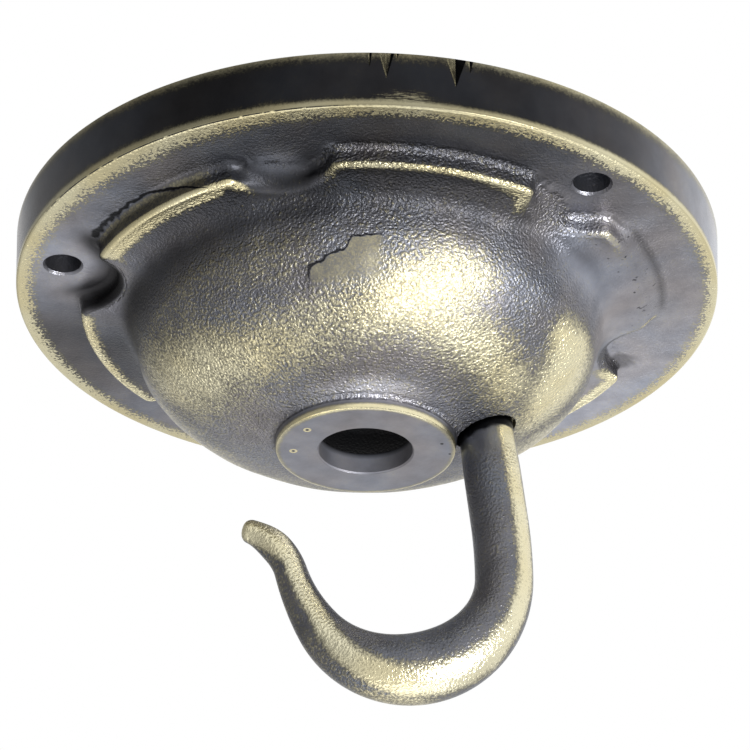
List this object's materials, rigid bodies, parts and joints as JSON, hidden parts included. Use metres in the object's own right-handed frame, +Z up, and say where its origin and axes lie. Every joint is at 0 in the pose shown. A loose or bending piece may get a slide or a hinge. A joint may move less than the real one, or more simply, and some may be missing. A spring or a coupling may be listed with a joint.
{
  "type": "ceiling hook",
  "caption": "Round cast brass ceiling plate with a hollow dome, scalloped ring, cable hole in a turned boss and a curved hook riveted beside it.",
  "frame": {"origin": "centre of the fixing holes' circle in the ceiling plane", "axes": "+Z up into the ceiling, +X from the dome's axis towards the hook's shank"},
  "size_m": [0.12, 0.12, 0.0835],
  "materials": {
    "aged_brass_plate": "sand-cast, dark patina rubbed back to pale brass on the edges and the dome",
    "aged_brass_hook": "sand-cast, dark patina with a rubbed brass stripe along its front and outer side"
  },
  "bodies": {
    "root": {"ceiling_plate": "aged_brass_plate", "hook": "aged_brass_hook"}
  },
  "joints": []
}
